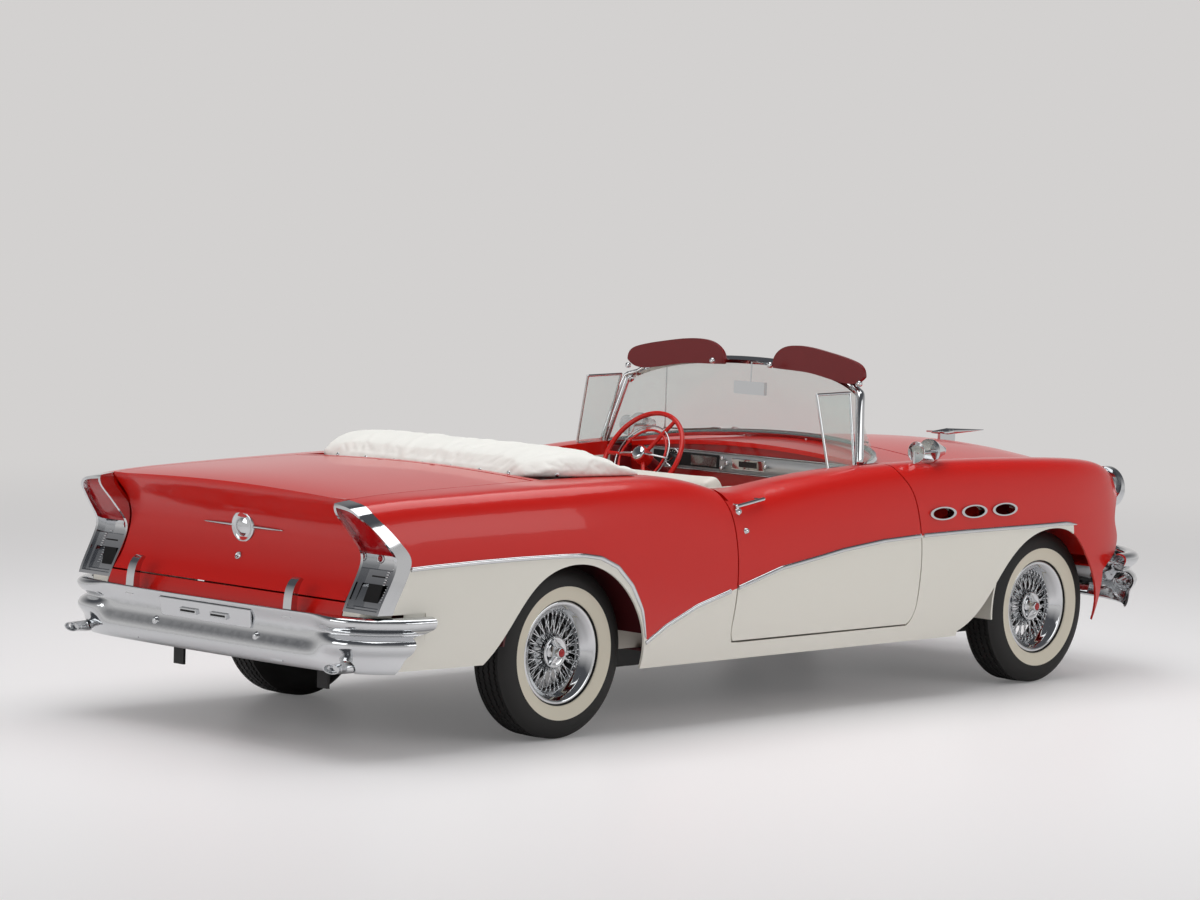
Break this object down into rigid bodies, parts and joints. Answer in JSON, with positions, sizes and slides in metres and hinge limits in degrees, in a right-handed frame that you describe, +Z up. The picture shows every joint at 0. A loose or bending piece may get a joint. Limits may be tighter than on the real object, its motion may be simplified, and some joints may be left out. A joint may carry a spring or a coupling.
{
  "type": "1950s convertible car",
  "caption": "Open two-door car of the 1950s with folded top, opening doors, hood and trunk, wire wheels, chrome bumpers and linked steering.",
  "frame": {"origin": "on the ground below the middle of the bounding box", "axes": "+X forward, +Y to the car's left, +Z up"},
  "size_m": [5.2237, 1.9536, 1.5196],
  "materials": {
    "boot_cloth": "matte",
    "chrome": "polished",
    "cream_paint": "gloss",
    "dark_red_panel": "satin",
    "engine_iron": "painted",
    "frame_steel": "satin",
    "greenish_glass": "clear",
    "red_lens": "gloss",
    "red_paint": "gloss",
    "red_trim": "gloss",
    "tyre_rubber": "matte",
    "white_upholstery": "satin"
  },
  "bodies": {
    "body": {"antenna": "chrome", "bumper_front": "chrome", "bumper_rear": "chrome", "chassis_frame": "frame_steel", "cowl": "red_paint", "dashboard": "red_trim", "door_hinges": "frame_steel", "engine_block": "engine_iron", "exhaust": "chrome", "fender_mirrors": "chrome", "firewall": "dark_red_panel", "floor_pan": "dark_red_panel", "front_fenders": "red_paint", "front_panel": "red_paint", "front_seat_back": "white_upholstery", "front_seat_cushion": "white_upholstery", "front_seat_frame": "dark_red_panel", "front_suspension": "frame_steel", "fuel_tank": "frame_steel", "grille": "chrome", "headlamps": "chrome", "port_rims": "chrome", "quarter_panels": "red_paint", "radiator": "frame_steel", "rear_axle": "frame_steel", "rear_deck": "red_paint", "rear_seat_back": "white_upholstery", "rear_seat_cushion": "white_upholstery", "rear_valance": "red_paint", "rear_view_mirror": "chrome", "rockers": "cream_paint", "steering_column": "red_trim", "sun_visors": "red_trim", "tail_lamps": "chrome", "tail_lenses": "red_lens", "top_boot": "boot_cloth", "windshield_frame": "chrome", "windshield_glass": "greenish_glass"},
    "door_left": {"door_left": "red_paint", "vent_frame_left": "chrome", "vent_glass_left": "greenish_glass", "door_handle_left": "chrome"},
    "door_right": {"door_right": "red_paint", "vent_frame_right": "chrome", "vent_glass_right": "greenish_glass", "door_handle_right": "chrome"},
    "hood": {"hood": "red_paint", "hood_ornament": "chrome"},
    "trunk_lid": {"trunk_lid": "red_paint"},
    "steering_wheel": {"steering_wheel": "red_trim"},
    "knuckle_left": {"knuckle_left": "frame_steel"},
    "knuckle_right": {"knuckle_right": "frame_steel"},
    "wheel_front_left": {"tyre_front_left": "tyre_rubber", "wheel_front_left": "chrome"},
    "wheel_front_right": {"tyre_front_right": "tyre_rubber", "wheel_front_right": "chrome"},
    "wheel_rear_left": {"tyre_rear_left": "tyre_rubber", "wheel_rear_left": "chrome"},
    "wheel_rear_right": {"tyre_rear_right": "tyre_rubber", "wheel_rear_right": "chrome"}
  },
  "joints": [
    {"name": "door_left_hinge", "type": "hinge", "parent": "body", "child": "door_left", "pos_m": [0.60528, 0.942, 0.62], "axis": [0, 0, -1], "range_deg": [0, 65]},
    {"name": "door_right_hinge", "type": "hinge", "parent": "body", "child": "door_right", "pos_m": [0.60528, -0.942, 0.62], "axis": [0, 0, 1], "range_deg": [0, 65]},
    {"name": "hood_hinge", "type": "hinge", "parent": "body", "child": "hood", "pos_m": [1.03272, 0, 1.07153], "axis": [0, -1, 0], "range_deg": [0, 50]},
    {"name": "trunk_hinge", "type": "hinge", "parent": "body", "child": "trunk_lid", "pos_m": [-1.50243, 0, 1.04055], "axis": [0, 1, 0], "range_deg": [0, 70]},
    {"name": "steer_left", "type": "hinge", "parent": "body", "child": "knuckle_left", "pos_m": [1.676, 0.6545, 0.348], "axis": [0, 0, 1], "range_deg": [-32, 32]},
    {"name": "steer_right", "type": "hinge", "parent": "body", "child": "knuckle_right", "pos_m": [1.676, -0.6545, 0.348], "axis": [0, 0, 1], "range_deg": [-32, 32]},
    {"name": "steering_wheel_turn", "type": "hinge", "parent": "body", "child": "steering_wheel", "pos_m": [0.30624, 0.375, 0.98968], "axis": [-0.866, 0, 0.5], "range_deg": [-480, 480]},
    {"name": "wheel_front_left_spin", "type": "hinge", "parent": "knuckle_left", "child": "wheel_front_left", "pos_m": [1.676, 0.7495, 0.348], "axis": [0, 1, 0], "continuous": true},
    {"name": "wheel_front_right_spin", "type": "hinge", "parent": "knuckle_right", "child": "wheel_front_right", "pos_m": [1.676, -0.7495, 0.348], "axis": [0, 1, 0], "continuous": true},
    {"name": "wheel_rear_left_spin", "type": "hinge", "parent": "body", "child": "wheel_rear_left", "pos_m": [-1.423, 0.7495, 0.348], "axis": [0, 1, 0], "continuous": true},
    {"name": "wheel_rear_right_spin", "type": "hinge", "parent": "body", "child": "wheel_rear_right", "pos_m": [-1.423, -0.7495, 0.348], "axis": [0, 1, 0], "continuous": true}
  ],
  "couplings": [
    {"joint": "steer_right", "follows": "steer_left", "ratio": 1},
    {"joint": "steering_wheel_turn", "follows": "steer_left", "ratio": 15}
  ]
}
